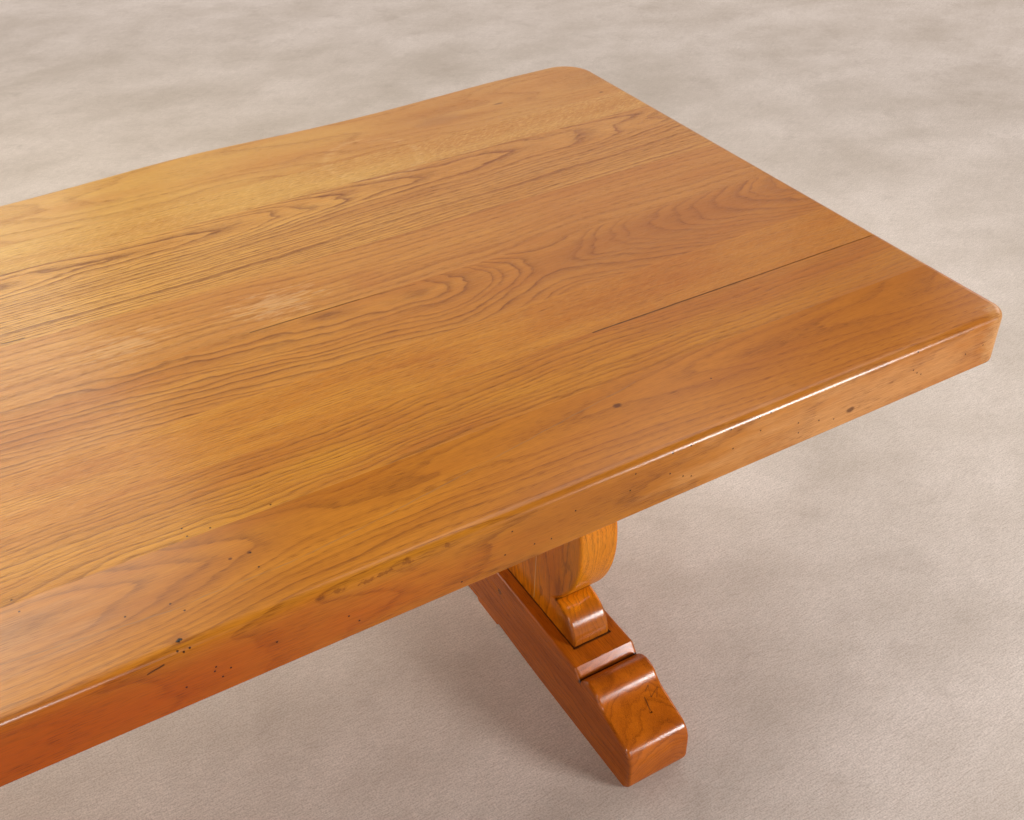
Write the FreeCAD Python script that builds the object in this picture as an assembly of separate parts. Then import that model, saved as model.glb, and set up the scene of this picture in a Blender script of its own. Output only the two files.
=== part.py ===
import FreeCAD, Part
import math
import os

# A long dining table in solid oak. A thick top of edge-jointed boards lies on two trestles, and a wedged
# stretcher ties the trestles together. Millimetres. The origin is on the floor under the middle of the top,
# X runs along the table, Y across it towards the far long edge, Z up.

# Tabletop
TABLE_HEIGHT = 750.0
TOP_LENGTH = 2200.0
TOP_THICKNESS = 75.0
BOARD_WIDTHS = (169.0, 77.0, 184.0, 128.0, 128.0, 96.0, 98.0, 138.0)  # from the far edge to the near edge
FAR_CORNER_RADIUS = 60.0
NEAR_CORNER_RADIUS = 25.0
UPPER_ARRIS_RADIUS = 12.0
LOWER_ARRIS_RADIUS = 3.0

# The far edge keeps the wandering line of the tree: how far it strays inwards, in even steps to the right
FAR_EDGE_DIPS = (0.0, 9.0, 6.0, 10.0, 22.0, 33.0, 32.0, 22.0, 9.0, 15.0, 15.0, 4.0, 0.0)

# Loose tongues in the board joints
TONGUE_THICKNESS = 12.0
TONGUE_DEPTH = 18.0  # into each of the two boards
TONGUE_SETBACK = 80.0  # from each end of the top
GLUE_CLEARANCE = 0.2

# Glue lines that have opened with age: a long one at the end of the top and a short one along the middle
OPEN_JOINT_BOARD_COUNT = 6  # boards on its far side
OPEN_JOINT_LENGTH = 480.0
OPEN_JOINT_WIDTH = 1.2
OPEN_JOINT_DEPTH = 20.0
CRACK_BOARD_COUNT = 4
CRACK_START = 250.0
CRACK_LENGTH = 235.0
CRACK_WIDTH = 1.0
CRACK_DEPTH = 6.0

# Trestles
TRESTLE_SPACING = 1316.0  # centre to centre

# Sled foot
FOOT_LENGTH = 868.0
FOOT_WIDTH = 112.0
FOOT_HEIGHT = 130.0
FOOT_ARRIS_RADIUS = 5.5
NOTCH_FROM_TOE = 142.0
NOTCH_DEPTH = 18.0
CHAMFER_RUN = 14.0
HUMP_RADIUS = 30.0
HUMP_FALL_ANGLE = 50.0  # degrees below level where the hump turns into the cove
COVE_RADIUS = 50.0
TOE_SLOPE = 19.0  # degrees
TOE_RADIUS = 36.0
TOE_UNDERCUT_RADIUS = 30.0
TOE_UNDERCUT_ANGLE = 45.0  # degrees
PAD_WIDTH = 60.0
ARCH_RISE = 7.0
TOE_PAD_LENGTH = 185.0

# Upright
UPRIGHT_THICKNESS = 68.0
UPRIGHT_BASE_WIDTH = 486.0
LOBE_OVERHANG = 10.0  # beyond the base on each side
SHOE_RADIUS = 58.0
SHOE_LEDGE = 3.0  # from the top of the shoe's roll in to the lobe
UPRIGHT_ARRIS_RADIUS = 6.0
UPRIGHT_END_EASE = 2.0
MIDDLE_STAVE_WIDTH = 242.0

# Bearer under the top
BEARER_LENGTH = 798.0
BEARER_WIDTH = 112.0
BEARER_HEIGHT = 120.0
BEARER_END_RADIUS = 45.0
BEARER_ARRIS_RADIUS = 4.0

# Upright tenons in foot and bearer, and the pegs through them
TENON_WIDTH = 160.0
TENON_THICKNESS = 24.0
TENON_LENGTH = 75.0
PEG_DIAMETER = 12.0
PEG_SPACING = 90.0
PEG_FROM_SHOULDER = 36.0
PEG_CLEARANCE = 0.15

# Coach screws up through the bearers into the top
SCREW_DIAMETER = 10.0
SCREW_BITE = 45.0
SCREW_POINT = 8.0
SCREW_HEAD_FLATS = 17.0
SCREW_HEAD_HEIGHT = 7.0
SCREW_HEAD_SIDES = 6
SCREW_SPACING = 56.0  # across the bearer
SCREW_RECESS = 46.0
SCREW_CLEARANCE = 0.5
PILOT_CLEARANCE = 0.15
WASHER_DIAMETER = 30.0
WASHER_THICKNESS = 2.5
WASHER_CLEARANCE = 2.0

# Stretcher with a through tenon at each end
STRETCHER_HEIGHT = 110.0
STRETCHER_THICKNESS = 45.0
STRETCHER_ARRIS_RADIUS = 4.0
THROUGH_TENON_HEIGHT = 84.0
THROUGH_TENON_THICKNESS = 32.0
THROUGH_TENON_REACH = 110.0  # beyond the upright's outer face
THROUGH_TENON_EASE = 5.0
JOINT_CLEARANCE = 0.3

# Loose wedges
WEDGE_LENGTH = 165.0
WEDGE_WIDTH = 18.0
WEDGE_TIP = 32.0
WEDGE_HEAD = 44.0
WEDGE_BELOW_TENON = 20.0
WEDGE_EASE = 3.0
WEDGE_DRAW = 6.0  # how far the wedge mortise runs in behind the upright's outer face

# Places that follow from the sizes above
TOP_WIDTH = sum(BOARD_WIDTHS)
TOP_UNDERSIDE = TABLE_HEIGHT - TOP_THICKNESS
BEARER_UNDERSIDE = TOP_UNDERSIDE - BEARER_HEIGHT
UPRIGHT_MIDDLE = (FOOT_HEIGHT + BEARER_UNDERSIDE) / 2
TRESTLE_SIDES = {"right": TRESTLE_SPACING / 2, "left": -TRESTLE_SPACING / 2}
JOINT_LINES = [TOP_WIDTH / 2 - sum(BOARD_WIDTHS[:count]) for count in range(len(BOARD_WIDTHS) + 1)]

ORIGIN = FreeCAD.Vector(0, 0, 0)
ALONG_X = FreeCAD.Vector(1, 0, 0)
ALONG_Y = FreeCAD.Vector(0, 1, 0)
ALONG_Z = FreeCAD.Vector(0, 0, 1)
SAME_PLACE = 1e-6  # places closer than this count as one

# Angles of a profile in degrees, counted from Y towards Z
UPWARD = 90.0
DOWNWARD = 270.0
FULL_TURN = 360.0


def block(low, high):
    """A box between two corners."""
    size = [top - bottom for bottom, top in zip(low, high)]
    return Part.makeBox(*size, FreeCAD.Vector(*low))


def line(start, end):
    return Part.LineSegment(start, end).toShape()


def arc(start, middle, end):
    return Part.Arc(start, middle, end).toShape()


def side_point(y, z):
    """A point of a profile seen along the table."""
    return FreeCAD.Vector(0, y, z)


def turned(centre, radius, degrees):
    """The profile point on a circle, at an angle counted from Y towards Z."""
    angle = math.radians(degrees)
    return side_point(centre.y + radius * math.cos(angle), centre.z + radius * math.sin(angle))


def arc_about(centre, radius, first, last):
    """An arc of a profile about its centre, between two angles in degrees."""
    middle = (first + last) / 2
    return arc(*(turned(centre, radius, degrees) for degrees in (first, middle, last)))


def mirrored(edges):
    """The same edges on the other side of the table's long centre plane."""
    return [edge.mirror(ORIGIN, ALONG_Y) for edge in edges]


def slab(edges, thickness):
    """A closed profile given its thickness along the table, half to each side."""
    face = Part.Face(Part.Wire(Part.sortEdges(edges)[0]))
    face.translate(ALONG_X * (-thickness / 2))
    return face.extrude(ALONG_X * thickness)


def lies_at(low, high, place):
    """Whether a stretch between two bounds lies all at one place."""
    return max(abs(low - place), abs(high - place)) < SAME_PLACE


def side_edges(solid, thickness):
    """The edges round the two flat sides of a slab."""
    sides = (-thickness / 2, thickness / 2)
    return [edge for edge in solid.Edges
            if any(lies_at(edge.BoundBox.XMin, edge.BoundBox.XMax, x) for x in sides)]


def is_level(edge, z):
    """Whether an edge lies at one height."""
    return lies_at(edge.BoundBox.ZMin, edge.BoundBox.ZMax, z)


def level_edges(solid, z):
    return [edge for edge in solid.Edges if is_level(edge, z)]


def far_edge():
    """The far long edge of the top, a gentle wave between its two corners."""
    run = TOP_LENGTH - 2 * FAR_CORNER_RADIUS
    stride = run / (len(FAR_EDGE_DIPS) - 1)
    points = []
    for step, dip in enumerate(FAR_EDGE_DIPS):
        points.append(FreeCAD.Vector(stride * step - run / 2, TOP_WIDTH / 2 - dip, 0))
    curve = Part.BSplineCurve()
    curve.interpolate(Points=points, InitialTangent=ALONG_X, FinalTangent=ALONG_X)
    return curve.toShape()


def corner(x_side, y_side, radius):
    """One rounded corner of the top in plan."""
    x_centre = x_side * (TOP_LENGTH / 2 - radius)
    y_centre = y_side * (TOP_WIDTH / 2 - radius)
    diagonal = radius / math.sqrt(2)
    return arc(FreeCAD.Vector(x_centre + x_side * radius, y_centre, 0),
               FreeCAD.Vector(x_centre + x_side * diagonal, y_centre + y_side * diagonal, 0),
               FreeCAD.Vector(x_centre, y_centre + y_side * radius, 0))


def whole_top():
    """The top before it is parted into boards, with its corners and arrises rounded."""
    half_length = TOP_LENGTH / 2
    half_width = TOP_WIDTH / 2
    near_reach = half_length - NEAR_CORNER_RADIUS
    edges = [far_edge()]
    edges.append(line(FreeCAD.Vector(-near_reach, -half_width, 0),
                      FreeCAD.Vector(near_reach, -half_width, 0)))
    for side in (-1, 1):
        x = side * half_length
        edges.append(line(FreeCAD.Vector(x, NEAR_CORNER_RADIUS - half_width, 0),
                          FreeCAD.Vector(x, half_width - FAR_CORNER_RADIUS, 0)))
        edges.append(corner(side, -1, NEAR_CORNER_RADIUS))
        edges.append(corner(side, 1, FAR_CORNER_RADIUS))
    face = Part.Face(Part.Wire(Part.sortEdges(edges)[0]))
    face.translate(ALONG_Z * TOP_UNDERSIDE)
    plate = face.extrude(ALONG_Z * TOP_THICKNESS)
    plate = plate.makeFillet(UPPER_ARRIS_RADIUS, level_edges(plate, TABLE_HEIGHT))
    return plate.makeFillet(LOWER_ARRIS_RADIUS, level_edges(plate, TOP_UNDERSIDE))


def tongue(y, clearance):
    """One loose tongue centred on a joint, grown by a clearance for its groove."""
    reach = TOP_LENGTH / 2 - TONGUE_SETBACK + clearance
    half_width = TONGUE_DEPTH + clearance
    half_thickness = TONGUE_THICKNESS / 2 + clearance
    z = TOP_UNDERSIDE + TOP_THICKNESS / 2
    return block((-reach, y - half_width, z - half_thickness), (reach, y + half_width, z + half_thickness))


def slit(start, length, y, width, depth):
    """A pointed slit let into the upper face beside a joint, on the near side of the joint line."""
    first = FreeCAD.Vector(start, y, TABLE_HEIGHT)
    last = FreeCAD.Vector(start + length, y, TABLE_HEIGHT)
    middle = FreeCAD.Vector(start + length / 2, y - width, TABLE_HEIGHT)
    face = Part.Face(Part.Wire([line(first, last), arc(last, middle, first)]))
    return face.extrude(ALONG_Z * -depth)


def top_boards(pilot_holes):
    """The boards of the top, from the far edge to the near one. The open joint is widest at the top's end."""
    whole = whole_top()
    grooves = [tongue(y, GLUE_CLEARANCE) for y in JOINT_LINES[1:-1]]
    open_start = TOP_LENGTH / 2 - OPEN_JOINT_LENGTH
    open_line = JOINT_LINES[OPEN_JOINT_BOARD_COUNT]
    crack_line = JOINT_LINES[CRACK_BOARD_COUNT]
    open_joint = slit(open_start, 2 * OPEN_JOINT_LENGTH, open_line, OPEN_JOINT_WIDTH, OPEN_JOINT_DEPTH)
    crack = slit(CRACK_START, CRACK_LENGTH, crack_line, CRACK_WIDTH, CRACK_DEPTH)
    worked = whole.cut(grooves + pilot_holes + [open_joint, crack])
    boards = []
    for far, near in zip(JOINT_LINES[:-1], JOINT_LINES[1:]):
        strip = block((-TOP_LENGTH, near, TOP_UNDERSIDE), (TOP_LENGTH, far, TABLE_HEIGHT))
        boards.append(worked.common(strip).Solids[0])
    return boards


def foot_profile():
    """Half of the foot's outline, from the middle of its top to the middle of its underside."""
    end = FOOT_LENGTH / 2
    notch_y = end - NOTCH_FROM_TOE
    notch = side_point(notch_y, FOOT_HEIGHT - NOTCH_DEPTH)
    shoulder = side_point(notch_y - CHAMFER_RUN, FOOT_HEIGHT)
    rise = math.degrees(math.acos((HUMP_RADIUS - NOTCH_DEPTH) / HUMP_RADIUS))
    hump_y = notch_y + HUMP_RADIUS * math.sin(math.radians(rise))
    hump = side_point(hump_y, FOOT_HEIGHT - HUMP_RADIUS)
    hump_end = UPWARD - HUMP_FALL_ANGLE
    cove = turned(hump, HUMP_RADIUS + COVE_RADIUS, hump_end)
    cove_end = turned(cove, COVE_RADIUS, DOWNWARD - TOE_SLOPE)
    toe_y = end - TOE_RADIUS
    slope_y = toe_y + TOE_RADIUS * math.sin(math.radians(TOE_SLOPE))
    slope_z = cove_end.z - (slope_y - cove_end.y) * math.tan(math.radians(TOE_SLOPE))
    slope_end = side_point(slope_y, slope_z)
    toe = side_point(toe_y, slope_z - TOE_RADIUS * math.cos(math.radians(TOE_SLOPE)))
    nose = side_point(end - TOE_UNDERCUT_RADIUS, TOE_UNDERCUT_RADIUS * math.sin(math.radians(TOE_UNDERCUT_ANGLE)))
    heel = turned(nose, TOE_UNDERCUT_RADIUS, -TOE_UNDERCUT_ANGLE)
    toe_pad = side_point(end - TOE_PAD_LENGTH, 0)
    pad_half = PAD_WIDTH / 2
    cusp = side_point(pad_half + ARCH_RISE, ARCH_RISE)
    arch_run = toe_pad.y - cusp.y
    arch_radius = (arch_run ** 2 + ARCH_RISE ** 2) / (2 * ARCH_RISE)
    arch_turn = math.degrees(math.asin(arch_run / arch_radius))
    arch_centre = side_point(toe_pad.y, arch_radius)
    return [
        line(side_point(0, FOOT_HEIGHT), shoulder),
        line(shoulder, notch),
        arc_about(hump, HUMP_RADIUS, UPWARD + rise, hump_end),
        arc_about(cove, COVE_RADIUS, DOWNWARD - HUMP_FALL_ANGLE, DOWNWARD - TOE_SLOPE),
        line(cove_end, slope_end),
        arc_about(toe, TOE_RADIUS, UPWARD - TOE_SLOPE, 0),
        line(side_point(end, toe.z), side_point(end, nose.z)),
        arc_about(nose, TOE_UNDERCUT_RADIUS, 0, -TOE_UNDERCUT_ANGLE),
        line(heel, toe_pad),
        arc_about(arch_centre, arch_radius, DOWNWARD, DOWNWARD - arch_turn),
        arc_about(side_point(pad_half, ARCH_RISE), ARCH_RISE, FULL_TURN, DOWNWARD),
        line(side_point(pad_half, 0), ORIGIN),
    ]


def peg(y, z, length, clearance):
    """One peg lying along the table, grown by a clearance for its hole."""
    return Part.makeCylinder(PEG_DIAMETER / 2 + clearance, length, FreeCAD.Vector(-length / 2, y, z), ALONG_X)


def peg_pair(z, length, clearance):
    return [peg(side * PEG_SPACING / 2, z, length, clearance) for side in (-1, 1)]


def foot_peg_height():
    return FOOT_HEIGHT - PEG_FROM_SHOULDER


def bearer_peg_height():
    return BEARER_UNDERSIDE + PEG_FROM_SHOULDER


def tenon(shoulder, direction, clearance):
    """An upright's tenon from its shoulder, upwards or downwards, grown by a clearance for its mortise."""
    half_thickness = TENON_THICKNESS / 2 + clearance
    half_width = TENON_WIDTH / 2 + clearance
    tip = shoulder + direction * (TENON_LENGTH + clearance)
    low = min(shoulder, tip)
    high = max(shoulder, tip)
    return block((-half_thickness, -half_width, low), (half_thickness, half_width, high))


def foot():
    """A sled foot on the table's centre, with the mortise and peg holes for its upright."""
    half = foot_profile()
    solid = slab(half + mirrored(half), FOOT_WIDTH).removeSplitter()
    upper = [edge for edge in side_edges(solid, FOOT_WIDTH) if edge.BoundBox.ZMax > 2 * ARCH_RISE]
    solid = solid.makeFillet(FOOT_ARRIS_RADIUS, upper)
    holes = peg_pair(foot_peg_height(), 2 * FOOT_WIDTH, PEG_CLEARANCE)
    return solid.cut([tenon(FOOT_HEIGHT, -1, GLUE_CLEARANCE)] + holes)


def shoe():
    """The lower end of the upright: a flat base and a roll at each side."""
    base = UPRIGHT_BASE_WIDTH / 2
    roll_y = base - SHOE_RADIUS
    ledge = FOOT_HEIGHT + SHOE_RADIUS
    half = [
        line(side_point(0, FOOT_HEIGHT), side_point(base, FOOT_HEIGHT)),
        arc_about(side_point(roll_y, FOOT_HEIGHT), SHOE_RADIUS, 0, UPWARD),
        line(side_point(roll_y, ledge), side_point(0, ledge)),
    ]
    solid = slab(half + mirrored(half), UPRIGHT_THICKNESS).removeSplitter()
    rolled = [edge for edge in side_edges(solid, UPRIGHT_THICKNESS) if not is_level(edge, FOOT_HEIGHT)]
    solid = solid.makeFillet(UPRIGHT_ARRIS_RADIUS, rolled)
    return solid.makeFillet(UPRIGHT_END_EASE, level_edges(solid, FOOT_HEIGHT))


def upright_neck():
    """Half of the upright's width where its lobes meet its shoes."""
    return UPRIGHT_BASE_WIDTH / 2 - SHOE_RADIUS - SHOE_LEDGE


def lobe(low, high):
    """The swelling on the far side of the upright: part of a disc that rises from one ledge to the other."""
    belly = UPRIGHT_BASE_WIDTH / 2 + LOBE_OVERHANG
    swell = belly - upright_neck()
    half_rise = UPRIGHT_MIDDLE - FOOT_HEIGHT - SHOE_RADIUS
    radius = (half_rise ** 2 + swell ** 2) / (2 * swell)
    centre = FreeCAD.Vector(-UPRIGHT_THICKNESS / 2, belly - radius, UPRIGHT_MIDDLE)
    disc = Part.makeCylinder(radius, UPRIGHT_THICKNESS, centre, ALONG_X)
    disc = disc.makeFillet(UPRIGHT_ARRIS_RADIUS, side_edges(disc, UPRIGHT_THICKNESS))
    return disc.common(block((-UPRIGHT_THICKNESS, 0, low), (UPRIGHT_THICKNESS, 2 * belly, high)))


def upright():
    """The whole upright: a shoe at each end of a core, and a swelling lobe on each side of it."""
    low_shoe = shoe()
    high_shoe = low_shoe.mirror(side_point(0, UPRIGHT_MIDDLE), ALONG_Z)
    low = FOOT_HEIGHT + SHOE_RADIUS / 2
    high = BEARER_UNDERSIDE - SHOE_RADIUS / 2
    core_y = upright_neck() - 2 * UPRIGHT_ARRIS_RADIUS
    core = block((-UPRIGHT_THICKNESS / 2, -core_y, low), (UPRIGHT_THICKNESS / 2, core_y, high))
    far_lobe = lobe(low, high)
    near_lobe = far_lobe.mirror(ORIGIN, ALONG_Y)
    return core.fuse([low_shoe, high_shoe, far_lobe, near_lobe]).removeSplitter()


def through_tenon(clearance):
    """The section of the stretcher's tenon, as long as the upright is thick and more, for its mortise."""
    half_thickness = THROUGH_TENON_THICKNESS / 2 + clearance
    half_height = THROUGH_TENON_HEIGHT / 2 + clearance
    return block((-UPRIGHT_THICKNESS, -half_thickness, UPRIGHT_MIDDLE - half_height),
                 (UPRIGHT_THICKNESS, half_thickness, UPRIGHT_MIDDLE + half_height))


def upright_staves():
    """The upright on the table's centre, parted into its three staves."""
    whole = upright()
    reach = UPRIGHT_BASE_WIDTH + LOBE_OVERHANG
    seam = MIDDLE_STAVE_WIDTH / 2
    staves = {}
    for name, low, high in (("near", -reach, -seam), ("middle", -seam, seam), ("far", seam, reach)):
        strip = block((-UPRIGHT_THICKNESS, low, FOOT_HEIGHT), (UPRIGHT_THICKNESS, high, BEARER_UNDERSIDE))
        staves[name] = whole.common(strip).Solids[0]
    tenons = [tenon(FOOT_HEIGHT, -1, 0), tenon(BEARER_UNDERSIDE, 1, 0)]
    middle = staves["middle"].fuse(tenons).removeSplitter()
    pegs = peg_pair(foot_peg_height(), 2 * TENON_THICKNESS, PEG_CLEARANCE)
    pegs += peg_pair(bearer_peg_height(), 2 * TENON_THICKNESS, PEG_CLEARANCE)
    staves["middle"] = middle.cut([through_tenon(JOINT_CLEARANCE)] + pegs).Solids[0]
    return staves


def screw_places():
    """Where the screws stand on one trestle: two across the bearer under the second board from each edge."""
    rows = [(JOINT_LINES[first] + JOINT_LINES[first + 1]) / 2 for first in (1, len(BOARD_WIDTHS) - 2)]
    return [(side * SCREW_SPACING / 2, y) for y in rows for side in (-1, 1)]


def upward_rod(x, y, low, high, radius):
    return Part.makeCylinder(radius, high - low, FreeCAD.Vector(x, y, low))


def screw_seat():
    """The height of the recess floor that the washers bear on."""
    return BEARER_UNDERSIDE + SCREW_RECESS


def bearer():
    """A bearer on the table's centre, with its mortise, peg holes and screw recesses."""
    end = BEARER_LENGTH / 2
    lower = BEARER_UNDERSIDE + BEARER_END_RADIUS
    flat = end - BEARER_END_RADIUS
    half = [
        line(side_point(0, TOP_UNDERSIDE), side_point(end, TOP_UNDERSIDE)),
        line(side_point(end, TOP_UNDERSIDE), side_point(end, lower)),
        arc_about(side_point(flat, lower), BEARER_END_RADIUS, FULL_TURN, DOWNWARD),
        line(side_point(flat, BEARER_UNDERSIDE), side_point(0, BEARER_UNDERSIDE)),
    ]
    solid = slab(half + mirrored(half), BEARER_WIDTH).removeSplitter()
    exposed = [edge for edge in side_edges(solid, BEARER_WIDTH) if not is_level(edge, TOP_UNDERSIDE)]
    solid = solid.makeFillet(BEARER_ARRIS_RADIUS, exposed)
    cuts = [tenon(BEARER_UNDERSIDE, 1, GLUE_CLEARANCE)]
    cuts += peg_pair(bearer_peg_height(), 2 * BEARER_WIDTH, PEG_CLEARANCE)
    for x, y in screw_places():
        recess = WASHER_DIAMETER / 2 + WASHER_CLEARANCE
        cuts.append(upward_rod(x, y, BEARER_UNDERSIDE, screw_seat(), recess))
        cuts.append(upward_rod(x, y, BEARER_UNDERSIDE, TOP_UNDERSIDE, SCREW_DIAMETER / 2 + SCREW_CLEARANCE))
    return solid.cut(cuts)


def coach_screw(x, y):
    """A hexagon-headed wood screw, its head against the washer and its point in the top."""
    head_top = screw_seat() - WASHER_THICKNESS
    corner_radius = SCREW_HEAD_FLATS / 2 / math.cos(math.pi / SCREW_HEAD_SIDES)
    corners = []
    for step in range(SCREW_HEAD_SIDES + 1):
        angle = 2 * math.pi * step / SCREW_HEAD_SIDES
        corner_x = x + corner_radius * math.cos(angle)
        corner_y = y + corner_radius * math.sin(angle)
        corners.append(FreeCAD.Vector(corner_x, corner_y, head_top - SCREW_HEAD_HEIGHT))
    head = Part.Face(Part.makePolygon(corners)).extrude(ALONG_Z * SCREW_HEAD_HEIGHT)
    tip = TOP_UNDERSIDE + SCREW_BITE
    shank = upward_rod(x, y, head_top, tip - SCREW_POINT, SCREW_DIAMETER / 2)
    point = Part.makeCone(SCREW_DIAMETER / 2, 0, SCREW_POINT, FreeCAD.Vector(x, y, tip - SCREW_POINT))
    return head.fuse([shank, point]).removeSplitter()


def screw_washer(x, y):
    low = screw_seat() - WASHER_THICKNESS
    disc = upward_rod(x, y, low, screw_seat(), WASHER_DIAMETER / 2)
    return disc.cut(upward_rod(x, y, low, screw_seat(), SCREW_DIAMETER / 2 + SCREW_CLEARANCE))


def pilot_hole(x, y):
    """The hole in the top for one coach screw."""
    radius = SCREW_DIAMETER / 2 + PILOT_CLEARANCE
    return upward_rod(x, y, TOP_UNDERSIDE, TOP_UNDERSIDE + SCREW_BITE + PILOT_CLEARANCE, radius)


def wedge_prism(inner_growth, outer_growth, width):
    """The right-hand wedge: plumb where it bears on the trestle, tapered on its outer side."""
    bearing = TRESTLE_SPACING / 2 + UPRIGHT_THICKNESS / 2
    inner = bearing - inner_growth
    outer = bearing + outer_growth
    low = UPRIGHT_MIDDLE - THROUGH_TENON_HEIGHT / 2 - WEDGE_BELOW_TENON
    high = low + WEDGE_LENGTH
    outline = ((inner, low), (outer + WEDGE_TIP, low), (outer + WEDGE_HEAD, high), (inner, high),
               (inner, low))
    face = Part.Face(Part.makePolygon([FreeCAD.Vector(x, -width / 2, z) for x, z in outline]))
    return face.extrude(ALONG_Y * width)


def wedge():
    """The right-hand wedge with its head and tip eased."""
    solid = wedge_prism(0, 0, WEDGE_WIDTH)
    ends = level_edges(solid, solid.BoundBox.ZMin) + level_edges(solid, solid.BoundBox.ZMax)
    return solid.makeChamfer(WEDGE_EASE, ends)


def wedge_mortise():
    """The right-hand wedge's hole through the stretcher's tenon, let in behind the upright's outer face."""
    return wedge_prism(WEDGE_DRAW, 0, WEDGE_WIDTH + 2 * JOINT_CLEARANCE)


def stretcher():
    """The beam between the trestles, with a wedged through tenon at each end."""
    half_length = TRESTLE_SPACING / 2 - UPRIGHT_THICKNESS / 2
    half_height = STRETCHER_HEIGHT / 2
    half_thickness = STRETCHER_THICKNESS / 2
    beam = block((-half_length, -half_thickness, UPRIGHT_MIDDLE - half_height),
                 (half_length, half_thickness, UPRIGHT_MIDDLE + half_height))
    long_edges = [edge for edge in beam.Edges if edge.BoundBox.XLength > half_length]
    beam = beam.makeFillet(STRETCHER_ARRIS_RADIUS, long_edges)
    reach = TRESTLE_SPACING / 2 + UPRIGHT_THICKNESS / 2 + THROUGH_TENON_REACH
    rod = block((-reach, -THROUGH_TENON_THICKNESS / 2, UPRIGHT_MIDDLE - THROUGH_TENON_HEIGHT / 2),
                (reach, THROUGH_TENON_THICKNESS / 2, UPRIGHT_MIDDLE + THROUGH_TENON_HEIGHT / 2))
    ends = [edge for edge in rod.Edges if edge.BoundBox.XLength < SAME_PLACE]
    rod = rod.makeChamfer(THROUGH_TENON_EASE, ends)
    right = wedge_mortise()
    left = right.mirror(ORIGIN, ALONG_X)
    return beam.fuse(rod).removeSplitter().cut([right, left])


def placed(shape, x):
    """A copy of a shape moved along the table."""
    copy = shape.copy()
    copy.translate(ALONG_X * x)
    return copy


def write(name, shape):
    shape.exportStep("parts/" + name + ".step")


def write_group(name, shapes):
    write(name, Part.makeCompound(shapes))


def write_top():
    pilot_holes = [placed(pilot_hole(*place), x) for x in TRESTLE_SIDES.values() for place in screw_places()]
    for number, board in enumerate(top_boards(pilot_holes), start=1):
        write("top_board_%d" % number, board)
    for number, y in enumerate(JOINT_LINES[1:-1], start=1):
        write("top_tongue_%d" % number, tongue(y, 0))


def write_trestles():
    sled = foot()
    staves = upright_staves()
    beam = bearer()
    for side, x in TRESTLE_SIDES.items():
        write(side + "_foot", placed(sled, x))
        write(side + "_bearer", placed(beam, x))
        for place, stave in staves.items():
            write("%s_upright_%s_stave" % (side, place), placed(stave, x))


def write_fasteners():
    sides = TRESTLE_SIDES.values()
    foot_pegs = peg_pair(foot_peg_height(), FOOT_WIDTH, 0)
    bearer_pegs = peg_pair(bearer_peg_height(), BEARER_WIDTH, 0)
    write_group("foot_pegs", [placed(pin, x) for x in sides for pin in foot_pegs])
    write_group("bearer_pegs", [placed(pin, x) for x in sides for pin in bearer_pegs])
    write_group("coach_screws", [placed(coach_screw(*place), x) for x in sides for place in screw_places()])
    write_group("screw_washers", [placed(screw_washer(*place), x) for x in sides for place in screw_places()])


def write_stretcher():
    right = wedge()
    write("stretcher", stretcher())
    write("right_wedge", right)
    write("left_wedge", right.mirror(ORIGIN, ALONG_X))


os.makedirs("parts", exist_ok=True)
write_top()
write_trestles()
write_fasteners()
write_stretcher()
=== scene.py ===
"""Looks of a long oak trestle table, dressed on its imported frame: the figure of each board, lacquer and studio."""
import logging
import math
from collections.abc import Sequence
from dataclasses import dataclass, field
from enum import Enum
from typing import Protocol

import bmesh
import bpy
from mathutils import Euler, Matrix, Vector


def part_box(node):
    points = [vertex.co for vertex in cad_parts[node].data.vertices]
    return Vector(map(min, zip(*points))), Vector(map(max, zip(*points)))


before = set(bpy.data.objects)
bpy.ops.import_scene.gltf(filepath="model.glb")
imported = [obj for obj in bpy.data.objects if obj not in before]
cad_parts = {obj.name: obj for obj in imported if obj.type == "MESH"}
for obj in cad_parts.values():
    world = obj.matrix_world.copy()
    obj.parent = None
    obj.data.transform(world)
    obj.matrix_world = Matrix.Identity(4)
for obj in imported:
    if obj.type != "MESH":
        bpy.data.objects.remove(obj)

LOG = logging.getLogger("trestle_table")
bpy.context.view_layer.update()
MM_PER_M = 1000.0
TOP_FACE = 750.0  # height of the tabletop in mm
NEAR_FACE = -509.0  # where the near long edge stands, in mm

# Sizes of the patterns in oak in mm, along and across the grain. Real pores are 0.3 mm wide and fibres finer still;
# both are drawn coarser so that they show.
PORE_SIZE = (16.0, 0.7)
FIBRE_SIZE = (60.0, 1.2)
RAY_SIZE = (10.0, 1.8)
FADE_SIZE = (160.0, 14.0)  # stretches where a ring line fades
CLOUD_SIZE = (300.0, 50.0)  # slow changes of colour
PLANE_SIZE = (130.0, 70.0)  # waves that hand tools left
RAY_SLANT = math.radians(-24)
# Darkness over one year, from early wood to late wood and on to the next.
YEAR_RAMP = ((0.0, 1.0), (1.0, 1.0), (0.09, 0.95), (0.2, 0.45), (0.45, 0.14), (0.75, 0.0), (0.94, 0.15))

Socket = bpy.types.NodeSocket
Feed = Socket | float | Sequence[float] | None
Point = tuple[float, float, float]


def linear(colour: str) -> tuple[float, float, float, float]:
    """Turns an sRGB hex colour to linear.

    Args:
        colour: six hex digits after a hash.

    Returns:
        Red, green, blue and an alpha of one.
    """
    shares = [int(colour[start:start + 2], 16) / 255 for start in (1, 3, 5)]
    bright = [share / 12.92 if share <= 0.04045 else ((share + 0.055) / 1.055) ** 2.4 for share in shares]
    return (*bright, 1.0)


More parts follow.
